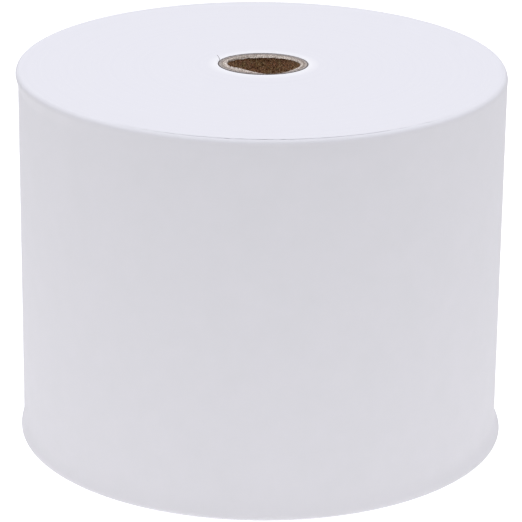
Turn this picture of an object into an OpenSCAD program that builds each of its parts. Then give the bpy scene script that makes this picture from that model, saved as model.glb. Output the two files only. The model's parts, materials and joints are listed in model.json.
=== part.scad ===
// A roll of white paper, wound on a spiral-wound cardboard core and standing on one end.
// The roll's axis is Z, and the lower end face lies at Z = 0. All sizes are in millimetres.

/* [Paper] */
// Width of the paper, which is the height of the standing roll
web_w = 57; // [40:0.5:80]
// Diameter of the wound roll at the middle of its width
roll_d = 72; // [60:0.5:90]
// Thickness of one layer of paper
paper_t = 0.085; // [0.06:0.005:0.12]

/* [Core] */
// Diameter of the hole through the core
bore_d = 11; // [10:0.1:13]
// Thickness of one ply of core board
ply_t = 0.36; // [0.3:0.02:0.5]
// Thickness of the glue film between two plies
film_t = 0.035; // [0.02:0.005:0.06]
// How much shorter the core is than the paper at each end
core_recess = 0.1; // [0.05:0.05:0.4]
// How far the core has slipped up in the paper
core_slip = 0.4; // [0.1:0.1:0.8]

/* [Wound edges] */
// How far the upper edge of the winding swells past the middle of the roll
top_swell = 0.4; // [0.1:0.05:0.8]
// Height of the swollen band at the upper edge
top_swell_w = 3; // [2:0.2:5]
// Radius of the worn upper rim
top_round = 1; // [0.4:0.1:1.4]
// How far the lower edge of the winding swells past the middle of the roll
bottom_swell = 0.6; // [0.1:0.05:0.8]
// Height of the swollen band at the lower edge
bottom_swell_w = 3; // [2:0.2:5]
// Radius of the lower rim
bottom_round = 0.4; // [0.2:0.1:0.8]
// How far the innermost turns have slipped up along the core
core_rise = 0.3; // [0.1:0.05:0.8]
// Radial width of the slipped turns
rise_w = 4; // [2:0.5:8]

/* [Free tail] */
// Number of panels that the free end of the paper bends between
tail_panels = 8; // [4:1:10]
// Angle of the roll that one panel covers
panel_angle = 12; // [8:0.5:14]
// Angle round the roll at which the tail leaves it
tail_root_angle = 140; // [90:5:180]
// Air under the tail
tail_air = 0.06; // [0.05:0.01:0.1]

/* [Hidden] */
$fn = 96;

// Core radii, from the bore outwards
bore_r = bore_d / 2;
inner_ply_r = bore_r + ply_t;
inner_film_r = inner_ply_r + film_t;
middle_ply_r = inner_film_r + ply_t;
outer_film_r = middle_ply_r + film_t;
core_r = outer_film_r + ply_t;
core_low = core_recess + core_slip;
core_high = web_w - core_recess + core_slip;

// The inner end of the paper
start_glue_t = 0.05;
start_glue_angle = 24;
start_glue_margin = 2;
start_edge_angle = 4;
first_wrap_r = core_r + start_glue_t;
pack_bore_r = first_wrap_r + paper_t;

// The outside of the winding
body_r = roll_d / 2;
rise_r = pack_bore_r + rise_w;
arc_steps = 6;
swell_steps = 6;
rise_steps = 6;

// The outermost turn, whose edges stop where the rims round over
sheet_low = 0.2;
sheet_high = web_w - 0.5;
slot_angle = 0.15;
tail_angle = tail_panels * panel_angle;
tail_end_angle = tail_root_angle - tail_angle;

// Glue dashes under the free edge
dash_n = 5;
dash_l = 5;
dash_pitch = 10;
dash_angle = 2.4;
dash_inset_angle = 1.6;
dash_t = 0.04;

paper_colour = "#f2f2f7";
liner_colour = "#7b5c41";
board_colour = "#b9a48e";
wrap_colour = "#8f8b86";
glue_colour = "#efe9d2";

function clamp(u) = max(0, min(1, u));
function ease(u) = let (v = clamp(u)) v * v * (3 - 2 * v);

// How much a rim of radius r takes off the side, at a depth below its end face
function rounding(depth, r) = depth >= r ? 0 : r - sqrt(r * r - pow(r - depth, 2));

// Radius of the winding at height z
function side_r(z) =
    body_r
    + top_swell * ease(1 - (web_w - z) / top_swell_w)
    + bottom_swell * ease(1 - z / bottom_swell_w)
    - rounding(web_w - z, top_round)
    - rounding(z, bottom_round);

// How far the turns at radius r have slipped up
function rise_at(r) = core_rise * ease((rise_r - r) / rise_w);

// Heights at which the side's outline has a point, from the lower face to the upper one
side_heights = concat(
    [for (i = [0 : arc_steps]) bottom_round * (1 - cos(90 * i / arc_steps))],
    [for (i = [1 : swell_steps]) bottom_round + (bottom_swell_w - bottom_round) * i / swell_steps],
    [for (i = [0 : swell_steps]) web_w - top_swell_w + (top_swell_w - top_round) * i / swell_steps],
    [for (i = [1 : arc_steps]) web_w - top_round * (1 - sin(90 * i / arc_steps))]
);
sheet_heights = concat(
    [sheet_low],
    [for (z = side_heights) if (z > sheet_low && z < sheet_high) z],
    [sheet_high]
);
rise_radii = [for (i = [0 : rise_steps]) pack_bore_r + rise_w * i / rise_steps];

module tube(r_in, r_out, z_low, z_high) {
    translate([0, 0, z_low])
        difference() {
            cylinder(r = r_out, h = z_high - z_low);
            translate([0, 0, -1]) cylinder(r = r_in, h = z_high - z_low + 2);
        }
}

// Part of a tube, from angle a_low to angle a_high
module tube_arc(r_in, r_out, z_low, z_high, a_low, a_high) {
    rotate([0, 0, a_low])
        rotate_extrude(angle = a_high - a_low)
            translate([r_in, z_low]) square([r_out - r_in, z_high - z_low]);
}

// One layer of paper that follows the outside of the winding, lifted off it by air
module sheet_arc(air, a_low, a_high) {
    inside = [for (z = sheet_heights) [side_r(z) + air, z]];
    outside = [for (i = [len(sheet_heights) - 1 : -1 : 0])
        [side_r(sheet_heights[i]) + air + paper_t, sheet_heights[i]]];
    rotate([0, 0, a_low])
        rotate_extrude(angle = a_high - a_low)
            polygon(concat(inside, outside));
}

module core_ply(r_in) {
    tube(r_in, r_in + ply_t, core_low, core_high);
}

module core_film(r_in) {
    tube(r_in, r_in + film_t, core_low, core_high);
}

module core_inner_ply() { color(liner_colour) core_ply(bore_r); }
module core_inner_glue() { color(glue_colour) core_film(inner_ply_r); }
module core_middle_ply() { color(board_colour) core_ply(inner_film_r); }
module core_outer_glue() { color(glue_colour) core_film(middle_ply_r); }
module core_outer_ply() { color(wrap_colour) core_ply(outer_film_r); }

// The strip of glue that holds the paper's inner end on the core
module start_glue() {
    color(glue_colour)
        tube_arc(core_r, first_wrap_r, start_glue_margin, web_w - start_glue_margin,
                 tail_root_angle, tail_root_angle + start_glue_angle);
}

// The first turn of paper, open by a few degrees where its cut edge lies on the core
module first_wrap() {
    color(paper_colour)
        tube_arc(first_wrap_r, pack_bore_r, core_rise, web_w + core_rise,
                 tail_root_angle, tail_root_angle + 360 - start_edge_angle);
}

module wound_paper() {
    lower_face = [for (r = rise_radii) [r, rise_at(r)]];
    side = [for (z = side_heights) [side_r(z), z]];
    upper_face = [for (i = [rise_steps : -1 : 0]) [rise_radii[i], web_w + rise_at(rise_radii[i])]];
    color(paper_colour)
        rotate_extrude() polygon(concat(lower_face, side, upper_face));
}

// The last turn, from under the tail's free edge round to the tail's root
module outer_wrap() {
    color(paper_colour)
        sheet_arc(0, tail_root_angle + slot_angle, tail_end_angle + 360 - slot_angle);
}

// Panel k of the free tail, counted from its root
module tail_panel(k) {
    a_high = tail_root_angle - (k - 1) * panel_angle;
    color(paper_colour)
        sheet_arc(tail_air, a_high - panel_angle, a_high - slot_angle);
}

// Dashes of light glue on the tail's inner side, beside its free edge
module tail_glue() {
    a_low = tail_end_angle + dash_inset_angle;
    r_out = body_r + tail_air;
    color(glue_colour)
        for (i = [0 : dash_n - 1]) {
            z_mid = web_w / 2 + dash_pitch * (i - (dash_n - 1) / 2);
            tube_arc(r_out - dash_t, r_out, z_mid - dash_l / 2, z_mid + dash_l / 2,
                     a_low, a_low + dash_angle);
        }
}

core_inner_ply();
core_inner_glue();
core_middle_ply();
core_outer_glue();
core_outer_ply();
start_glue();
first_wrap();
wound_paper();
outer_wrap();
for (k = [1 : tail_panels])
    tail_panel(k);
tail_glue();
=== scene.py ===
# %% [markdown]
# # A roll of white paper on a cardboard core
#
# The real thing is a long white web, wound on a small spiral-wound tube of grey and brown board.
# The sizes, the joints and the collision shapes were settled before this script, and it loads them as a
# fixed frame. What is left is the look: how the sheet lies on the roll, how its free end bends, what a
# few hundred cut edges look like from above, and how rough a cheap core is.

# %% Load the frame
import json
import math

import bmesh
import bpy
import numpy as np
from mathutils import Matrix, Vector, noise


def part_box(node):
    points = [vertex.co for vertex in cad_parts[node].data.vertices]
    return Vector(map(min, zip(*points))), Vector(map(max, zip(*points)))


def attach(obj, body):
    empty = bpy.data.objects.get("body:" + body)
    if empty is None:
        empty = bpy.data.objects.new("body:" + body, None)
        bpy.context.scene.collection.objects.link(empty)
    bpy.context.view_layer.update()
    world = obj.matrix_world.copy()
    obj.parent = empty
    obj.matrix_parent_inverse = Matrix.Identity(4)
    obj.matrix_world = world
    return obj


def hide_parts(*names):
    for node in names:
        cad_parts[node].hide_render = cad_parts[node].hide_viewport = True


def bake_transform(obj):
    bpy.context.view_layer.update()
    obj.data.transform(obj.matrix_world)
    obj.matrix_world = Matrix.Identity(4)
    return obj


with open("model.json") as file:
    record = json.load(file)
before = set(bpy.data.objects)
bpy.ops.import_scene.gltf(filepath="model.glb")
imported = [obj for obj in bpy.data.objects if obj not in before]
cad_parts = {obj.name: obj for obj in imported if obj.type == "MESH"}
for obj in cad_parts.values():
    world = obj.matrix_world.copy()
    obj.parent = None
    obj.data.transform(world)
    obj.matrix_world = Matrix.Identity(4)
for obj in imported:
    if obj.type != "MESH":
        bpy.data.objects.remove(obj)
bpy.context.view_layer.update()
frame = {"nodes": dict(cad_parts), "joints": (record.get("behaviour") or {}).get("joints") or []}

# %% [markdown]
# ## Sizes
#
# Every size that the frame already holds is read from it, so the pieces land where the design says.
# A radius comes from a node's own points, because a box can't tell a tube's inside from its outside.
# The few sizes after that are the shape of the wound edges. Paper is a little thicker at a knife-cut
# edge than in the middle of the web, and hundreds of turns add that up, so both edges of a roll swell.
# The design swells them evenly, and here the swelling varies a little round the roll, as it does.

# %% Sizes from the frame
MM = 0.001


def radii(node):
    """Smallest and largest distance of a node's points from the roll's axis."""
    points = np.array([v.co for v in frame["nodes"][node].data.vertices])
    distance = np.hypot(points[:, 0], points[:, 1])
    return float(distance.min()), float(distance.max())


BORE_R, LINER_R = radii("core_inner_ply")
MIDDLE_LOW_R, MIDDLE_HIGH_R = radii("core_middle_ply")
WRAP_LOW_R, CORE_R = radii("core_outer_ply")
FIRST_LOW_R, PACK_BORE_R = radii("first_wrap")
BODY_R = radii("outer_wrap")[0]
PAPER_T = PACK_BORE_R - FIRST_LOW_R
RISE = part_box("first_wrap")[0].z
WEB_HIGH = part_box("first_wrap")[1].z - RISE
CORE_LOW, CORE_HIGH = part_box("core_inner_ply")[0].z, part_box("core_inner_ply")[1].z
TAIL_AIR = radii("tail_glue")[1] - BODY_R
print(f"body radius {BODY_R / MM:.2f}, web {WEB_HIGH / MM:.2f}, sheet {PAPER_T / MM:.3f} mm")

# %% Where the tail bends
bends = frame["joints"]
BEND_ANGLES = [math.atan2(j["pos_m"][1], j["pos_m"][0]) for j in bends]
TAIL_BODIES = [j["child"] for j in bends]
ROOT_ANGLE = BEND_ANGLES[0]
PANEL = BEND_ANGLES[0] - BEND_ANGLES[1]
EDGE_ANGLE = BEND_ANGLES[-1] - PANEL
print(f"tail from {math.degrees(ROOT_ANGLE):.0f} to {math.degrees(EDGE_ANGLE):.0f} degrees")

# %% Shape of the wound edges
TOP_SWELL_W, TOP_ROUND = 2.6 * MM, 0.7 * MM
BOTTOM_SWELL_W, BOTTOM_ROUND = 3.0 * MM, 0.4 * MM
SWELL_SPREAD = 35


def ease(u):
    """0 below 0, 1 above 1, and a smooth step between."""
    u = np.clip(u, 0.0, 1.0)
    return u * u * (3 - 2 * u)


def rounding(depth, radius):
    """What a rounded rim takes off the side, at a depth below its end face."""
    inside = np.clip(radius - depth, 0.0, radius)
    return radius - np.sqrt(radius ** 2 - inside ** 2)


def near(angle, centre, width):
    """1 at the centre and falling smoothly to 0 beside it. Centre and width are in degrees."""
    off = (math.degrees(angle) - centre + 180) % 360 - 180
    return math.exp(-(off / width) ** 2)


def facing_front(angle):
    """1 on the side that faces -Y, and 0 on the whole far half."""
    return max(0.0, -math.sin(angle)) ** 2


def top_swell(angle):
    """The upper edge swells most towards -X, hardly towards +X, and is pressed in at the front."""
    left, right = near(angle, 180, SWELL_SPREAD), near(angle, 0, SWELL_SPREAD)
    return (0.26 + 0.22 * left - 0.2 * right - 0.4 * facing_front(angle)) * MM


def bottom_swell(angle):
    """The lower edge swells most towards +X, and least at the front."""
    return (0.5 + 0.42 * near(angle, 0, SWELL_SPREAD) - 0.4 * facing_front(angle)) * MM


def side_radius(z, angle):
    """Radius of the winding under its last turn, at height z."""
    depth = WEB_HIGH - z
    top = top_swell(angle) * ease(1 - depth / TOP_SWELL_W) - rounding(depth, TOP_ROUND)
    bottom = bottom_swell(angle) * ease(1 - z / BOTTOM_SWELL_W) - rounding(z, BOTTOM_ROUND)
    return BODY_R + top + bottom


# %% [markdown]
# ## Camera
#
# The camera comes first, because it decides how much of each piece is ever seen. It looks at the roll's
# middle from well above the table, through a long lens, which is why the sides are nearly parallel.
# A camera's own axes are X to the right, Y up and Z backwards, so a tilt is a turn about its X and a
# lean is a turn about its Z. Multiplying the matrices in that order keeps both turns its own.

# %% Camera
CAMERA_DISTANCE = 12.25 * BODY_R
CAMERA_ELEVATION = math.radians(20.05)
CAMERA_TILT = math.radians(-0.27)
CAMERA_LEAN = math.radians(0.62)
LENS, SENSOR_WIDTH = 201.6, 36

camera_data = bpy.data.cameras.new("camera")
camera_data.lens = LENS
camera_data.sensor_width = SENSOR_WIDTH
camera_data.clip_start, camera_data.clip_end = 0.01, 50
camera = bpy.data.objects.new("camera", camera_data)
bpy.context.scene.collection.objects.link(camera)
back = Vector((0, -math.cos(CAMERA_ELEVATION), math.sin(CAMERA_ELEVATION)))
aim = (-back).to_track_quat("-Z", "Y").to_matrix().to_4x4()
aim = aim @ Matrix.Rotation(CAMERA_TILT, 4, "X") @ Matrix.Rotation(CAMERA_LEAN, 4, "Z")
MIDDLE_OF_ROLL = Vector((0, 0, WEB_HIGH / 2))
camera.matrix_world = Matrix.Translation(MIDDLE_OF_ROLL + CAMERA_DISTANCE * back) @ aim
bpy.context.scene.camera = camera
print(f"camera {CAMERA_DISTANCE:.3f} m from the middle of the roll")

# %% [markdown]
# ## Writing shader maths as Python
#
# A material is a graph of nodes. Clicking a Math node into place for every plus and times hides the
# idea, so the class below wraps an output and lets Python's operators add those nodes: `1 - mask * 0.3`
# is then three readable symbols. Colours don't go through it, because a Math node turns a colour grey:
# they use Mix nodes. Every other node comes from one method, which sets the node's own settings first,
# because some of them decide which sockets it has.

# %% Values and finishes
class Value:
    """One output of a shader node. Arithmetic on it adds Math nodes."""

    def __init__(self, finish, socket):
        self.finish = finish
        self.socket = socket

    def math(self, operation, first, second):
        made = self.finish.node("ShaderNodeMath", {"operation": operation}, {0: first, 1: second})
        return made["Value"]

    def __add__(self, other):
        return self.math("ADD", self, other)

    def __radd__(self, other):
        return self.math("ADD", other, self)

    def __sub__(self, other):
        return self.math("SUBTRACT", self, other)

    def __rsub__(self, other):
        return self.math("SUBTRACT", other, self)

    def __mul__(self, other):
        return self.math("MULTIPLY", self, other)

    def __rmul__(self, other):
        return self.math("MULTIPLY", other, self)


class Finish:
    """One procedural material, with the record's slot that it shows."""

    def __init__(self, name, slot):
        self.slot = slot
        self.material = bpy.data.materials.new(name)
        self.material.use_nodes = True
        self.tree = self.material.node_tree
        self.tree.nodes.clear()
        self.shader = self.tree.nodes.new("ShaderNodeBsdfPrincipled")
        output = self.tree.nodes.new("ShaderNodeOutputMaterial")
        self.tree.links.new(self.shader.outputs["BSDF"], output.inputs["Surface"])

    def feed(self, socket, value):
        if isinstance(value, Value):
            self.tree.links.new(value.socket, socket)
        else:
            socket.default_value = value

    def node(self, kind, settings, inputs):
        """Any node: its settings, then its sockets' values or links. Returns its outputs."""
        made = self.tree.nodes.new(kind)
        for name, value in settings.items():
            if name == "stops":
                set_stops(made.color_ramp, value)
            else:
                setattr(made, name, value)
        for name, value in inputs.items():
            if isinstance(name, int):
                socket = made.inputs[name]
            else:
                socket = next(s for s in made.inputs if s.enabled and s.name == name)
            self.feed(socket, value)
        return {s.name: Value(self, s) for s in made.outputs if s.enabled}

    def surface(self, **inputs):
        """Sets the shader's own sockets, named with underscores for spaces."""
        for name, value in inputs.items():
            self.feed(self.shader.inputs[name.replace("_", " ")], value)


def set_stops(ramp, stops):
    """Gives a colour ramp its stops, as (place, colour) pairs."""
    while len(ramp.elements) < len(stops):
        ramp.elements.new(1.0)
    for element, (place, colour) in zip(ramp.elements, stops):
        element.position = place
        element.color = colour


def shade(red, green, blue):
    """A colour as a screen shows it, 0 to 255, as the linear values that a shader wants."""
    linear = [v / 12.92 if v <= 0.04045 else ((v + 0.055) / 1.055) ** 2.4
              for v in (red / 255, green / 255, blue / 255)]
    return (*linear, 1.0)


# %% [markdown]
# ## Patterns that several finishes share
#
# Paper and board are both felts of fibre, so their finishes share two patterns: a cloudy one, which is
# how evenly the fibre settled, and a fine grain. Both read the object's own coordinates in metres, so a
# scale of 1000 repeats about once a millimetre whatever piece wears it. The radius from the roll's axis
# drives whatever runs in rings.

# %% Shared patterns
def place(finish):
    """Object coordinates, in metres."""
    return finish.node("ShaderNodeTexCoord", {}, {})["Object"]


def cloud(finish, where, per_metre, detail, roughness):
    """Soft noise from 0 to 1 with about this many blobs in a metre."""
    inputs = {"Vector": where, "Scale": per_metre, "Detail": detail, "Roughness": roughness}
    return finish.node("ShaderNodeTexNoise", {"noise_dimensions": "3D"}, inputs)["Fac"]


def stretched(finish, where, x, y, z):
    """Coordinates scaled axis by axis. A small number draws the pattern out along its axis."""
    made = finish.node("ShaderNodeVectorMath", {"operation": "MULTIPLY"}, {0: where, 1: (x, y, z)})
    return made["Vector"]


def from_axis(finish, where):
    """Distance from the roll's axis, in metres."""
    flat = stretched(finish, where, 1, 1, 0)
    return finish.node("ShaderNodeVectorMath", {"operation": "LENGTH"}, {0: flat})["Value"]


def fade(finish, value, low, high, shape="SMOOTHSTEP"):
    """0 where the value is low, 1 where it is high, and a smooth step between."""
    inputs = {"Value": value, "From Min": low, "From Max": high}
    return finish.node("ShaderNodeMapRange", {"interpolation_type": shape}, inputs)["Result"]


def ramp(finish, factor, *stops):
    return finish.node("ShaderNodeValToRGB", {"stops": stops}, {"Fac": factor})["Color"]


def blend_colours(finish, factor, low, high, how="MIX"):
    inputs = {"Factor": factor, "A": low, "B": high}
    return finish.node("ShaderNodeMix", {"data_type": "RGBA", "blend_type": how}, inputs)["Result"]


def relief(finish, height, distance):
    """Turns a height from 0 to 1 into a bent normal. Distance is that height in metres."""
    return finish.node("ShaderNodeBump", {}, {"Height": height, "Distance": distance})["Normal"]


# %% [markdown]
# ## Paper finishes
#
# The sheet's face is coated with nothing, so it is matt with a faint blue whitener. Close to, it is
# cloudy at a few millimetres and felted at a tenth of one. The end faces are the cut edges of some 340
# turns. They look flat from a step away, and close to they show rings: each turn is a hair higher or
# darker than the next one. A ring pattern at the sheet's true pitch would flicker in any picture that
# can't resolve it, so the rings are drawn by noise along the radius at several coarser pitches. Towards
# the core the end faces fade to a paler white, which is a painted highlight: a halo of light round the
# core.

# %% Paper face
def paper_face():
    finish = Finish("paper_face", "paper")
    where = place(finish)
    clouds = cloud(finish, where, 260, 4.0, 0.6)
    felt = cloud(finish, where, 5200, 3.0, 0.7)
    colour = blend_colours(finish, clouds, shade(223, 222, 226), shade(228, 226, 231))
    finish.surface(Base_Color=colour, Roughness=0.78 + 0.08 * felt, IOR=1.45, Specular_IOR_Level=0.35,
                   Normal=relief(finish, felt * 0.7 + clouds * 0.3, 0.012 * MM))
    return finish


# %% Paper edges
def paper_edges():
    finish = Finish("paper_edges", "paper")
    where = place(finish)
    radius = from_axis(finish, where)
    inputs = {"W": radius, "Scale": 1500.0, "Detail": 4.0, "Roughness": 0.6}
    rings = finish.node("ShaderNodeTexNoise", {"noise_dimensions": "1D"}, inputs)["Fac"]
    dust = cloud(finish, where, 3800, 3.0, 0.7)
    paper = blend_colours(finish, rings * 0.6 + dust * 0.4, shade(223, 222, 228), shade(228, 227, 232))
    # Painted highlight: within about two millimetres of the core the end faces fade to a paler white, a
    # halo of light round the core.
    painted_halo = fade(finish, radius, PACK_BORE_R + 2.2 * MM, PACK_BORE_R - 0.6 * MM, "SMOOTHERSTEP")
    colour = blend_colours(finish, painted_halo, paper, shade(238, 237, 240))
    finish.surface(Base_Color=colour, Roughness=0.9, Specular_IOR_Level=0.2,
                   Normal=relief(finish, rings * 0.4 + dust * 0.6, 0.006 * MM))
    return finish


# %% [markdown]
# ## Core finishes
#
# A spiral core is made of cheap recycled board. Its liner, which is the wall of the bore, is dark brown
# and hairy. The plies' cut ends are tan and speckled, and the saw leaves them paler where fibre is torn
# up. The outermost ply is a thin grey one, darker in a thin band at its outer face. One function makes
# them all from their colours, because they are the same stuff: short strands, pale flecks and a fine
# tooth. The liner's stains and the wrap's dark outer band are then laid over the colour that the board
# already has.

# %% Board
BLACK, WHITE = (0, 0, 0, 1), (1, 1, 1, 1)


def board(name, slot, dark, light, fleck, tooth, rough):
    finish = Finish(name, slot)
    where = place(finish)
    strands = cloud(finish, stretched(finish, where, 1, 1, 0.8), 4400, 4.0, 0.9)
    speckle = cloud(finish, where, 6500, 2.0, 0.6)
    base = ramp(finish, strands, (0.44, dark), (0.56, light))
    flecks = ramp(finish, speckle, (0.55, BLACK), (0.63, WHITE))
    finish.surface(Base_Color=blend_colours(finish, flecks, base, fleck), Roughness=rough,
                   Specular_IOR_Level=0.2, Normal=relief(finish, strands * 0.6 + speckle * 0.4, tooth))
    return finish


def own_colour(finish):
    """The colour that already feeds a finish's shader."""
    return Value(finish, finish.shader.inputs["Base Color"].links[0].from_socket)


def liner_board():
    finish = board("core_liner", "core_liner", shade(66, 44, 31), shade(196, 152, 116),
                   shade(238, 208, 178), 0.1 * MM, 0.95)
    stains = cloud(finish, place(finish), 1500, 3.0, 0.6)
    tints = ramp(finish, stains, (0.36, shade(246, 255, 236)), (0.64, shade(255, 238, 234)))
    finish.surface(Base_Color=blend_colours(finish, 1.0, own_colour(finish), tints, "MULTIPLY"))
    return finish


def liner_end():
    return board("core_liner_end", "core_liner", shade(132, 116, 106), shade(214, 202, 192),
                 shade(242, 236, 230), 0.05 * MM, 0.95)


def middle_board():
    return board("core_board", "core_board", shade(104, 92, 86), shade(172, 159, 152),
                 shade(204, 195, 188), 0.04 * MM, 0.95)


def wrap_board():
    """The outermost ply: grey board, a little smoother than the others, that darkens in a thin band at
    its outer face.
    """
    finish = board("core_wrap", "core_wrap", shade(158, 150, 148), shade(174, 166, 162),
                   shade(186, 180, 176), 0.02 * MM, 0.85)
    radius = from_axis(finish, place(finish))
    # The colour darkens towards the ply's outer face, over its outer 0.17 mm.
    dark_outer_band = fade(finish, radius, CORE_R - 0.17 * MM, CORE_R - 0.07 * MM)
    finish.surface(Base_Color=blend_colours(finish, dark_outer_band, own_colour(finish), shade(88, 80, 78)))
    return finish


# %% Torn fibre and glue
def torn_fibre():
    return board("torn_fibre", "core_board", shade(128, 112, 100), shade(222, 210, 198),
                 shade(246, 241, 234), 0.03 * MM, 0.9)


def dried_glue():
    finish = Finish("dried_glue", "glue")
    blobs = cloud(finish, place(finish), 1800, 2.0, 0.5)
    colour = blend_colours(finish, blobs, shade(214, 202, 172), shade(232, 222, 198))
    finish.surface(Base_Color=colour, Roughness=0.35 + 0.25 * blobs,
                   Normal=relief(finish, blobs, 0.02 * MM))
    return finish


PAPER_FACE = paper_face()
PAPER_EDGES = paper_edges()
LINER = liner_board()
LINER_END = liner_end()
MIDDLE = middle_board()
WRAP = wrap_board()
TORN = torn_fibre()
GLUE = dried_glue()
print(len(bpy.data.materials), "materials so far")

# %% [markdown]
# ## Building solids from outlines
#
# Every ply, film, turn and tail piece is the same kind of solid: a closed outline in the plane of the
# radius and the height, carried round the axis while it slowly changes. A Screw modifier could carry a
# fixed outline, but not one that changes, so the points are worked out as one array and joined by quads.
# The outline is given as functions of the angle, and an open stretch is closed with end caps.

# %% Solids round the axis
SOLID_SHARP = 40


def solid_round(name, outline, angles, finishes, zones=None, closed=True):
    """A solid from outline(angle), which gives as many (radius, height) points at every angle.

    A zone is the number of the finish for the strip that starts at a point of the outline.
    """
    rows = np.array([outline(a) for a in angles])
    count, width = rows.shape[:2]
    turn = np.array(angles)[:, None]
    radius, height = rows[..., 0], rows[..., 1]
    points = np.stack([radius * np.cos(turn), radius * np.sin(turn), height], axis=-1)
    faces = []
    kinds = []
    for i in range(count if closed else count - 1):
        here, there = i * width, (i + 1) % count * width
        for j in range(width):
            k = (j + 1) % width
            faces.append((here + j, there + j, there + k, here + k))
            kinds.append(zones[j] if zones else 0)
    if not closed:
        faces += [tuple(range(width)), tuple(range((count - 1) * width, count * width))]
        kinds += [0, 0]
    mesh = bpy.data.meshes.new(name)
    mesh.from_pydata(points.reshape(-1, 3).tolist(), [], faces)
    for finish in finishes:
        mesh.materials.append(finish.material)
    mesh.polygons.foreach_set("material_index", kinds)
    tidy_normals(mesh, SOLID_SHARP)
    return add_piece(name, mesh, finishes[0])


def tidy_normals(mesh, sharp):
    """Faces outward, smooth shading, and a hard line where the surface turns by more than sharp."""
    work = bmesh.new()
    work.from_mesh(mesh)
    bmesh.ops.recalc_face_normals(work, faces=work.faces)
    work.to_mesh(mesh)
    work.free()
    mesh.shade_smooth()
    mesh.set_sharp_from_angle(angle=math.radians(sharp))


def add_piece(name, mesh, finish):
    piece = bpy.data.objects.new(name, mesh)
    bpy.context.scene.collection.objects.link(piece)
    return piece


def full_turn(count):
    return [2 * math.pi * i / count for i in range(count)]


# %% [markdown]
# ## The ends of the winding
#
# Near the core the turns have slipped a little along it, and the core was sawn a little out of square.
# Both show as an end that stands higher on the side that faces -Y than on the far side. One function
# gives the slip at any turn, and the paper's two ends and the first turn share it.

# %% Slipped turns and the sawn core
SLIP_W = 7.0 * MM
SAW_SLOPE = 0.38 * MM


def slip(radius, angle):
    """How far the turns at this radius have slipped up on this side."""
    return RISE * (1 - math.sin(angle)) * ease((PACK_BORE_R + SLIP_W - radius) / SLIP_W) ** 1.5


def core_top(angle):
    return CORE_HIGH - SAW_SLOPE * math.sin(angle)


# %% [markdown]
# ## The wound mass
#
# Modelling 340 turns one by one would cost millions of faces and still look like a disc. What the eye
# gets from them is a flat end face with faint rings, because neighbouring turns wander sideways together
# on the machine. So the end faces are real geometry with about three rings to a millimetre, and each ring
# is lifted by a smooth random walk a few thousandths of a millimetre high. The side is a spiral: it sinks
# by one sheet between the tail's root and the place where the last turn dives under the tail.

# %% Ring heights
def wander(count, step, seed):
    """A random walk that is pulled back to nothing, as the machine steers the web back."""
    draw = np.random.default_rng(seed)
    heights = [0.0]
    for push in draw.normal(0.0, step, count - 1):
        heights.append(heights[-1] * 0.75 + push)
    return np.array(heights)


RINGS_TOP, RINGS_BOTTOM = 104, 76
WEB_SEGMENTS = 288
RING_STEP, CALM_W = 0.0022 * MM, 0.6 * MM
DIVE_ANGLE = EDGE_ANGLE + 2 * math.pi + math.radians(6)

# %% The wound mass as one solid
flat_r = BODY_R - TOP_ROUND
top_radii = np.linspace(PACK_BORE_R, flat_r, RINGS_TOP)
bottom_radii = np.linspace(PACK_BORE_R, flat_r, RINGS_BOTTOM)
top_wander = wander(RINGS_TOP, RING_STEP, 11) * ease((flat_r - top_radii) / CALM_W)
bottom_calm = ease((flat_r - bottom_radii) / CALM_W)
bottom_wander = np.abs(wander(RINGS_BOTTOM, RING_STEP, 12)) * bottom_calm
quarter = np.linspace(0, math.pi / 2, 10)
side_heights = np.concatenate([
    BOTTOM_ROUND * (1 - np.cos(quarter)),
    np.linspace(BOTTOM_ROUND, BOTTOM_SWELL_W, 13)[1:],
    np.linspace(BOTTOM_SWELL_W, WEB_HIGH - TOP_SWELL_W, 12)[1:-1],
    np.linspace(WEB_HIGH - TOP_SWELL_W, WEB_HIGH - TOP_ROUND, 13)[:-1],
    WEB_HIGH - TOP_ROUND * (1 - np.sin(quarter)),
])


def spiral_share(angle):
    """0 where the tail leaves the roll, rising to 1 where the last turn dives under the tail."""
    past = (angle - ROOT_ANGLE) % (2 * math.pi)
    whole = DIVE_ANGLE - ROOT_ANGLE
    return past / whole if past < whole else 0.0


def wound_outline(angle):
    lower = np.stack([bottom_radii, bottom_wander + slip(bottom_radii, angle)], axis=-1)
    inset = PAPER_T * spiral_share(angle)
    side = np.stack([side_radius(side_heights, angle) - inset, side_heights], axis=-1)
    upper = np.stack([top_radii, WEB_HIGH + top_wander + slip(top_radii, angle)], axis=-1)[::-1]
    return np.concatenate([lower, side, upper])


EDGE_ZONE, FACE_ZONE = 0, 1
flat_side = (side_heights >= BOTTOM_ROUND) & (side_heights < WEB_HIGH - TOP_ROUND)
side_zones = np.where(flat_side, FACE_ZONE, EDGE_ZONE).tolist()
wound_zones = [EDGE_ZONE] * RINGS_BOTTOM + side_zones + [EDGE_ZONE] * RINGS_TOP
wound = solid_round("wound_web", wound_outline, full_turn(WEB_SEGMENTS),
                    [PAPER_EDGES, PAPER_FACE], wound_zones)
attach(wound, "roll")
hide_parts("wound_paper")
print("wound web:", len(wound.data.polygons), "faces")

# %% [markdown]
# ## The last turn and the free tail
#
# The sheet on the outside is one piece of paper, so one function draws it, both for the last turn and
# for the tail. It thins out at its two long edges, where on the real roll the worn rims hide the step.
# From the tail's root to where it dives under its own free end it sinks by its own thickness, which is
# what makes a roll a spiral and gives the free edge a true step to end on. Its heights are those of the
# winding below it, and so are the last turn's angles, because two faces that lie together can't cross if
# they are cut up in the same way.

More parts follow.
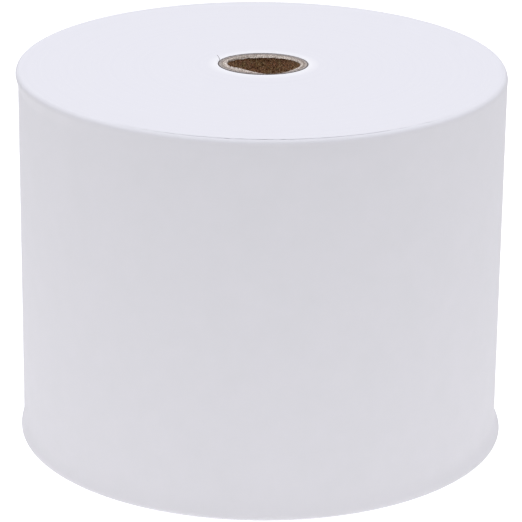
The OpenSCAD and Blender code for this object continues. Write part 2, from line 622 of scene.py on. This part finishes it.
# %% The sheet's cross-section
low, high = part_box("outer_wrap")
SHEET_LOW, SHEET_HIGH = low.z, high.z
FEATHER, EDGE_THICKNESS = 0.4 * MM, 0.06
covered = side_heights[(side_heights > SHEET_LOW) & (side_heights < SHEET_HIGH)]
sheet_heights = np.concatenate([[SHEET_LOW], covered, [SHEET_HIGH]])
edge_share = ease(np.minimum(sheet_heights - SHEET_LOW, SHEET_HIGH - sheet_heights) / FEATHER)
sheet_thickness = PAPER_T * (EDGE_THICKNESS + (1 - EDGE_THICKNESS) * edge_share)
print(len(sheet_heights), "heights up the sheet")


def sheet_outline(angle, lift):
    """The sheet's outline at an angle, with its inner face lifted off the winding."""
    inner = side_radius(sheet_heights, angle) + lift
    outer = inner + sheet_thickness
    return np.concatenate([np.stack([inner, sheet_heights], axis=-1),
                           np.stack([outer, sheet_heights], axis=-1)[::-1]])


# %% The last turn
LAST_STEPS = round(WEB_SEGMENTS * (DIVE_ANGLE - ROOT_ANGLE) / (2 * math.pi))


def last_turn_outline(angle):
    sunk = min(1.0, (angle - ROOT_ANGLE) / (DIVE_ANGLE - ROOT_ANGLE))
    return sheet_outline(angle, -PAPER_T * sunk)


last_angles = np.linspace(ROOT_ANGLE, DIVE_ANGLE, LAST_STEPS + 1)
last_turn = solid_round("last_turn", last_turn_outline, last_angles, [PAPER_FACE], closed=False)
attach(last_turn, "roll")
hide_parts("outer_wrap")
print("last turn:", len(last_turn.data.polygons), "faces")

# %% [markdown]
# The tail is cut into pieces at the middles of its panels, one piece for each bend, and the first piece
# starts at the root. Each piece is built where it lies on the closed roll, and the sheet's inner face
# leaves the winding only from the root on, rising over a few degrees to the gap that the design
# leaves under the tail.

# %% The tail in pieces
LIFT_ANGLE = math.radians(9)
EDGE_LIFT, EDGE_LIFT_ANGLE = 0.07 * MM, math.radians(2.5)
STEPS_PER_PANEL = 14


def tail_outline(angle):
    leaving = ease((ROOT_ANGLE - angle) / LIFT_ANGLE)
    edge = ease(1 - (angle - EDGE_ANGLE) / EDGE_LIFT_ANGLE)
    return sheet_outline(angle, TAIL_AIR * leaving + EDGE_LIFT * edge)


tail_nodes = [f"tail_panel_{k + 1}" for k in range(len(bends))]
for k, bend in enumerate(bends):
    start = ROOT_ANGLE if k == 0 else BEND_ANGLES[k] + PANEL / 2
    end = BEND_ANGLES[k] - PANEL / 2
    stop = EDGE_ANGLE if k == len(bends) - 1 else end
    steps = max(4, round(STEPS_PER_PANEL * (start - stop) / PANEL)) + 1
    sheet = solid_round(f"tail_sheet_{k + 1}", tail_outline, np.linspace(start, stop, steps),
                        [PAPER_FACE], closed=False)
    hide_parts(tail_nodes[k])
    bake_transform(sheet)
print(len(bends), "tail pieces")

# %% [markdown]
# ## The core
#
# Each ply is a tube with its own roughness: the liner is lumpy in the bore and torn at its inner edge,
# where the saw came through, and the others only show their sawn ends. A real ply is a strip wound in a
# helix, so the liner also has the butt seam where the strip's edges meet, a shallow groove that runs
# once round the bore from end to end.

# %% Rough tubes
CORE_SEGMENTS = 320
SAW_GAP, FILM_SUNK = 0.02 * MM, 0.03 * MM
SEAM_DEPTH, SEAM_WIDTH = 0.09 * MM, 0.28 * MM
SEAM_START = math.radians(35)


def lumps(angle, radius, height, size, seed):
    """Smooth noise from -1 to 1 over the surface of a tube, with lumps of this size."""
    spot = Vector((radius * math.cos(angle), radius * math.sin(angle), height)) / size
    return noise.noise(spot + Vector((seed * 7.3, seed * 3.1, 0)))


def seam(angle, height):
    """Depth of the helical seam at a point of the bore."""
    centre = SEAM_START + 2 * math.pi * height / WEB_HIGH
    off = (angle - centre + math.pi) % (2 * math.pi) - math.pi
    return SEAM_DEPTH * math.exp(-(off * BORE_R / SEAM_WIDTH * 2) ** 2)


def tear(angle, radius, seed):
    """How far the saw tore a ply's end up or down."""
    coarse = lumps(angle, radius, 0, 0.4 * MM, seed)
    fine = lumps(angle, radius, 0, 0.14 * MM, seed + 5)
    return 0.05 * MM * coarse + 0.04 * MM * fine


def worn(angle, radius):
    """How far the upper end has crumbled on the -Y side, most at the bore and not at all outside."""
    return 0.34 * MM * near(angle, 288, 26) * (CORE_R - radius) / (CORE_R - BORE_R)


def sawn_ends(angle, radius, seed, sunk):
    """Low and high end of a ply at one radius."""
    torn = tear(angle, radius, seed)
    low = CORE_LOW + SAW_GAP + abs(torn) + sunk
    return low, core_top(angle) + torn - sunk - worn(angle, radius)


# %% [markdown]
# The saw leaves the bore's upper lip in a state. On most of it a strip of the liner is scuffed pale, and
# on the far side that strip leans into the hole. On the -X side a burr hangs over the hole, beside it the
# lip is curled up, and on the -Y side it has crumbled away. All of these are smooth functions of the
# angle, so none of them has an edge, and noise on top of them makes the lip look torn.

# %% The torn lip
def overhang(angle):
    """How far the lip leans over the bore."""
    return (0.3 * near(angle, 184, 24) + 0.12 * near(angle, 232, 26)) * MM


def curl_up(angle):
    return 0.24 * near(angle, 228, 22) * MM


def lean_in(angle):
    """How far the torn strip leans into the bore over its depth."""
    return 0.26 * near(angle, 80, 60) * MM


def scuff(angle):
    """How deep the lip's pale torn strip reaches down the bore."""
    coarse = 0.09 * lumps(angle, BORE_R, 0, 0.9 * MM, 3)
    fine = 0.08 * lumps(angle, BORE_R, 0, 0.3 * MM, 6)
    return max(0.08, 0.2 + 0.1 * math.cos(angle - math.radians(150)) + (coarse + fine)) * MM


# %% The liner
LIP_STEPS, WALL_STEPS = 4, 96
BORE_WEAR = 0.07 * MM
BOTTOM_CHAMFER_W, BOTTOM_CHAMFER_H = 0.15 * MM, 0.1 * MM
lip_share = np.linspace(0.0, 1.0, LIP_STEPS)
wall_share = np.linspace(0.0, 1.0, WALL_STEPS + 1)[1:] ** 1.7


def bore_wall(angle, z):
    """Radius of the lumpy wall of the bore."""
    coarse = 0.045 * MM * lumps(angle, BORE_R, z, 0.5 * MM, 2)
    fine = 0.03 * MM * lumps(angle, BORE_R, z, 0.2 * MM, 4)
    return BORE_R + BORE_WEAR + (coarse + fine) + seam(angle, z)


def liner_outline(angle):
    low, high = sawn_ends(angle, BORE_R, 1, 0)
    low_out, high_out = sawn_ends(angle, LINER_R, 1, 0)
    edge_r = BORE_R + BORE_WEAR - overhang(angle)
    edge_z = high + curl_up(angle)
    depth = scuff(angle)
    points = [(LINER_R, high_out), ((LINER_R + edge_r) / 2, (high_out + edge_z) / 2), (edge_r, edge_z)]
    for share in lip_share[1:]:
        back = overhang(angle) * share ** 2 - lean_in(angle) * share
        ragged = 0.02 * MM * lumps(angle, BORE_R, share, 0.3, 8)
        points.append((edge_r + back + ragged, edge_z - depth * share))
    top, bottom = edge_z - depth, low + BOTTOM_CHAMFER_H
    for z in top + (bottom - top) * wall_share:
        points.append((bore_wall(angle, z), z))
    points += [(BORE_R + BOTTOM_CHAMFER_W, low), (LINER_R, low_out)]
    return np.array(points)


WALL_ZONE, CUT_ZONE, LIP_ZONE = 0, 1, 2
liner_zones = ([CUT_ZONE] * 2 + [LIP_ZONE] * (LIP_STEPS - 1) + [WALL_ZONE] * (WALL_STEPS + 1)
               + [CUT_ZONE] * 2)
liner = solid_round("core_liner", liner_outline, full_turn(CORE_SEGMENTS),
                    [LINER, LINER_END, TORN], liner_zones)
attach(liner, "roll")
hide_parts("core_inner_ply")
print("liner:", len(liner.data.polygons), "faces")


# %% Middle ply, outer ply and the films between
def ply_outline(low_r, high_r, seed, sunk):
    steps = np.linspace(low_r, high_r, 4)

    def outline(angle):
        ends = [(r, *sawn_ends(angle, r, seed, sunk)) for r in steps]
        upper = [(r, high) for r, low, high in ends]
        lower = [(r, low) for r, low, high in ends]
        return np.array(upper + lower[::-1])

    return outline


CORE_RINGS = [
    ("core_liner_glue", "core_inner_glue", LINER_R, MIDDLE_LOW_R, GLUE, FILM_SUNK),
    ("core_middle", "core_middle_ply", MIDDLE_LOW_R, MIDDLE_HIGH_R, MIDDLE, 0.0),
    ("core_wrap_glue", "core_outer_glue", MIDDLE_HIGH_R, WRAP_LOW_R, GLUE, FILM_SUNK),
    ("core_wrap", "core_outer_ply", WRAP_LOW_R, CORE_R, WRAP, 0.0),
]
for seed, (name, node, low_r, high_r, finish, sunk) in enumerate(CORE_RINGS, 20):
    outline = ply_outline(low_r, high_r, seed, sunk)
    ring = solid_round(name, outline, full_turn(CORE_SEGMENTS), [finish])
    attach(ring, "roll")
    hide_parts(node)
    print(f"{name}: {len(ring.data.polygons)} faces")

# %% [markdown]
# The first turn of paper goes round the core with its cut edge glued down, so it is an arc that stops
# short of a full turn. It stands as high as the slipped turns next to it. The glue strip under it can't
# be seen, so its design solid stays and only takes the glue's finish.

# %% First turn and its glue
FIRST_GAP, FIRST_STEPS = math.radians(4), 200


def first_turn_outline(angle):
    low = slip(PACK_BORE_R, angle)
    high = WEB_HIGH + low
    inner, outer = FIRST_LOW_R, PACK_BORE_R
    return np.array([(inner, low), (outer, low), (outer, high), (inner, high)])


SIDE, END = 0, 1
first_angles = np.linspace(ROOT_ANGLE, ROOT_ANGLE + 2 * math.pi - FIRST_GAP, FIRST_STEPS)
first_turn = solid_round("first_turn", first_turn_outline, first_angles, [PAPER_FACE, PAPER_EDGES],
                         zones=[END, SIDE, END, SIDE], closed=False)
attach(first_turn, "roll")
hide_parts("first_wrap")
frame["nodes"]["start_glue"].data.materials.clear()
frame["nodes"]["start_glue"].data.materials.append(GLUE.material)
print("first turn:", len(first_turn.data.polygons), "faces")

# %% [markdown]
# ## Glue dashes under the tail
#
# A new roll is held shut by a few dashes of weak glue beside the free edge, and they stay on the tail
# when it is lifted. Each is a flattened drop made of two grids of points: a flat one on the sheet's
# inner side, and a domed one that bulges towards the axis. Both get narrower towards the drop's ends.
# The points are worked out as angles and radii, so the drop follows the roll's curve, and a strip of
# faces round the rim joins the two grids.

# %% One glue dash
low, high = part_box("tail_glue")
DASH_COUNT, DASH_ROWS, DASH_COLUMNS = 5, 15, 9
DASH_L, DASH_HALF_W, DASH_T = 5 * MM, 0.75 * MM, 0.04 * MM
DASH_RIM_SHARE, DASH_END_SHARE = 0.15, 0.35
DASH_SHARP = 60
dash_pitch = (high.z - low.z - DASH_L) / (DASH_COUNT - 1)
dash_mid = [low.z + DASH_L / 2 + dash_pitch * i for i in range(DASH_COUNT)]
dash_angle = EDGE_ANGLE + math.radians(2.8)


def dash_point(mid, along, across, domed):
    """A point of a dash, on its domed side or its flat one. Along and across run from -1 to 1."""
    width = DASH_END_SHARE + (1 - DASH_END_SHARE) * math.sqrt(max(0.0, 1 - along ** 4))
    dome = max(0.0, 1 - across ** 2) * max(0.0, 1 - along ** 6)
    depth = DASH_T * (DASH_RIM_SHARE + (1 - DASH_RIM_SHARE) * dome) if domed else 0
    radius = BODY_R + TAIL_AIR - depth
    angle = dash_angle + across * width * DASH_HALF_W / BODY_R
    return radius * math.cos(angle), radius * math.sin(angle), mid + along * DASH_L / 2


print("middles of the dashes, mm:", [round(z / MM, 1) for z in dash_mid])


# %% All the dashes as one piece
def dash_mesh():
    rows, columns = DASH_ROWS, DASH_COLUMNS
    size = rows * columns
    rim = [i * columns for i in range(rows)]
    rim += [(rows - 1) * columns + j for j in range(1, columns)]
    rim += [i * columns + columns - 1 for i in range(rows - 2, -1, -1)]
    rim += list(range(columns - 2, 0, -1))
    points, faces = [], []
    for mid in dash_mid:
        base = len(points)
        for domed in (False, True):
            for along in np.linspace(-1, 1, rows).tolist():
                for across in np.linspace(-1, 1, columns).tolist():
                    points.append(dash_point(mid, along, across, domed))
        for grid in (base, base + size):
            for i in range(rows - 1):
                for j in range(columns - 1):
                    a = grid + i * columns + j
                    faces.append((a, a + 1, a + columns + 1, a + columns))
        for a, b in zip(rim, rim[1:] + rim[:1]):
            faces.append((base + a, base + b, base + size + b, base + size + a))
    mesh = bpy.data.meshes.new("tail_dashes")
    mesh.from_pydata(points, [], faces)
    mesh.materials.append(GLUE.material)
    tidy_normals(mesh, DASH_SHARP)
    return mesh


dashes = add_piece("tail_dashes", dash_mesh(), GLUE)
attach(dashes, TAIL_BODIES[-1])
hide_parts("tail_glue")
print(DASH_COUNT, "dashes of glue")

# %% [markdown]
# ## Loose fibre
#
# A saw tears recycled board and leaves a fringe of fibre round the bore, and one long fibre stands out
# beside the core. Each is a short curved tube. A Curve object with a bevel would draw them too, with a
# radius set at each point and a conversion to a mesh at the end. It is shorter to sweep a small ring
# along each fibre's points, a little thinner at every step, and to put all the rings into one mesh.

# %% Tubes for fibres
FIBRE_SIDES, FIBRE_TAPER, FIBRE_SHARP = 6, 0.65, 70
ASKEW = Vector((0.3, 0.2, 1))


def fibre_mesh(name, strands, finish):
    """One mesh of thin tubes. Each strand is (points, radius) and tapers towards its end."""
    sides = FIBRE_SIDES
    points, faces = [], []
    for path, radius in strands:
        base = len(points)
        for i, spot in enumerate(path):
            ahead = (path[min(i + 1, len(path) - 1)] - path[max(i - 1, 0)]).normalized()
            across = ahead.cross(ASKEW).normalized()
            over = ahead.cross(across)
            thin = radius * (1 - FIBRE_TAPER * i / (len(path) - 1))
            for s in range(sides):
                turn = 2 * math.pi * s / sides
                points.append(spot + thin * (math.cos(turn) * across + math.sin(turn) * over))
        for i in range(len(path) - 1):
            for s in range(sides):
                a, b = base + i * sides + s, base + i * sides + (s + 1) % sides
                faces.append((a, b, b + sides, a + sides))
        faces += [tuple(range(base, base + sides)), tuple(range(len(points) - sides, len(points)))]
    mesh = bpy.data.meshes.new(name)
    mesh.from_pydata(points, [], faces)
    mesh.materials.append(finish.material)
    tidy_normals(mesh, FIBRE_SHARP)
    return mesh


def curled(start, way, length, curl, steps):
    """Points along a fibre that starts off one way and bends steadily towards another."""
    spots = [start]
    heading = way.normalized()
    for _ in range(steps):
        spots.append(spots[-1] + heading * length / steps)
        heading = (heading + curl / steps).normalized()
    return spots


# %% The fringe round the bore
FRINGE_COUNT, FRINGE_STEPS = 90, 5
UP = Vector((0, 0, 1))
draw = np.random.default_rng(5)
fringe = []
for _ in range(FRINGE_COUNT):
    angle = draw.uniform(0, 2 * math.pi)
    out = Vector((math.cos(angle), math.sin(angle), 0))
    along = Vector((-math.sin(angle), math.cos(angle), 0))
    root = out * (BORE_R + 0.06 * MM) + UP * (core_top(angle) - draw.uniform(0.04, 0.22) * MM)
    way = -out * draw.uniform(0.2, 1.0) + along * draw.normal(0, 0.8) + UP * draw.uniform(-0.9, 0.5)
    curl = along * draw.normal(0, 1.2) + UP * draw.normal(-0.4, 0.8)
    path = curled(root, way, draw.uniform(0.12, 0.42) * MM, curl, FRINGE_STEPS)
    fringe.append((path, draw.uniform(0.008, 0.02) * MM))
fringe_piece = add_piece("core_fringe", fibre_mesh("core_fringe", fringe, TORN), TORN)
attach(fringe_piece, "roll")
print(len(fringe), "fibres in the fringe")

# %% The long stray fibre
STRAY_ANGLE = math.radians(171)
STRAY_R, STRAY_L, STRAY_STEPS = 0.05 * MM, 1.45 * MM, 10
stray_root = Vector((CORE_R * math.cos(STRAY_ANGLE), CORE_R * math.sin(STRAY_ANGLE), 0))
stray_root += UP * core_top(STRAY_ANGLE) + Vector((0.25, 0, -0.06)) * MM
stray_way, stray_curl = Vector((-0.3, 0.7, 1.0)), Vector((-0.35, 0.5, -0.5))
stray_path = curled(stray_root, stray_way, STRAY_L, stray_curl, STRAY_STEPS)
stray = add_piece("stray_fibre", fibre_mesh("stray_fibre", [(stray_path, STRAY_R)], WRAP), WRAP)
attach(stray, "roll")
print("stray fibre's tip at", [round(c / MM, 2) for c in stray_path[-1]], "mm")

# %% [markdown]
# ## Floor and light
#
# White paper on white needs light from all round: from straight above for the end face, and from both
# sides so that the roll's edges stay a little brighter than its middle. The floor glows faintly as well
# as reflecting, as a lit table does, which keeps it white right up to the roll.

# %% Floor
POOL_GLOW, FOOT_GLOW = 0.45, 0.07
POOL_IN, POOL_OUT = 0.12, 0.45
FOOT_IN, FOOT_OUT = 0.038, 0.054
FLOOR_DIM, FLOOR_BRIGHT = (0.88, 0.88, 0.88, 1), (0.9, 0.9, 0.9, 1)
FLOOR_HALF = 4.0


def floor_finish():
    finish = Finish("lit_table", None)
    where = place(finish)
    soft = cloud(finish, where, 3, 1.0, 0.4)
    radius = from_axis(finish, where)
    pool = fade(finish, radius, POOL_OUT, POOL_IN)
    foot = fade(finish, radius, FOOT_OUT, FOOT_IN)
    most = POOL_GLOW + FOOT_GLOW
    glow = pool * (POOL_GLOW / most) + foot * (FOOT_GLOW / most)
    finish.surface(Base_Color=blend_colours(finish, soft, FLOOR_DIM, FLOOR_BRIGHT),
                   Roughness=0.9, Specular_IOR_Level=0.0, Emission_Strength=most,
                   Emission_Color=blend_colours(finish, glow, BLACK, WHITE))
    return finish


floor_mesh = bpy.data.meshes.new("floor")
corners = [(-FLOOR_HALF, -FLOOR_HALF, 0), (FLOOR_HALF, -FLOOR_HALF, 0),
           (FLOOR_HALF, FLOOR_HALF, 0), (-FLOOR_HALF, FLOOR_HALF, 0)]
floor_mesh.from_pydata(corners, [], [(0, 1, 2, 3)])
floor_mesh.materials.append(floor_finish().material)
floor = bpy.data.objects.new("floor", floor_mesh)
bpy.context.scene.collection.objects.link(floor)
print(f"floor {2 * FLOOR_HALF:.0f} m across, with a glow of {POOL_GLOW + FOOT_GLOW:.2f} round the roll")

# %% Light
WALL_COLOUR, WORLD_GLOW = (1.0, 0.99, 1.0), 0.34


def soft_light(name, spot, size, watts, colour):
    data = bpy.data.lights.new(name, "AREA")
    data.shape = "RECTANGLE"
    data.size, data.size_y = size
    data.energy = watts
    data.color = colour
    light = bpy.data.objects.new(name, data)
    light.location = spot
    light.rotation_mode = "QUATERNION"
    light.rotation_quaternion = (MIDDLE_OF_ROLL - Vector(spot)).to_track_quat("-Z", "Y")
    bpy.context.scene.collection.objects.link(light)


soft_light("overhead", (0, 0, 0.9), (0.9, 0.9), 7.35, (0.935, 0.947, 1.0))
soft_light("left_wall", (-0.9, 0, 0.35), (1.2, 0.7), 0.86, WALL_COLOUR)
soft_light("right_wall", (0.9, 0, 0.35), (1.2, 0.7), 0.73, WALL_COLOUR)
world = bpy.data.worlds.new("studio")
world.use_nodes = True
background = world.node_tree.nodes["Background"]
background.inputs["Color"].default_value = WHITE
background.inputs["Strength"].default_value = WORLD_GLOW
bpy.context.scene.world = world
bpy.context.scene.view_settings.view_transform = "Standard"
print(len(bpy.data.lights), "lights and a world of", WORLD_GLOW)
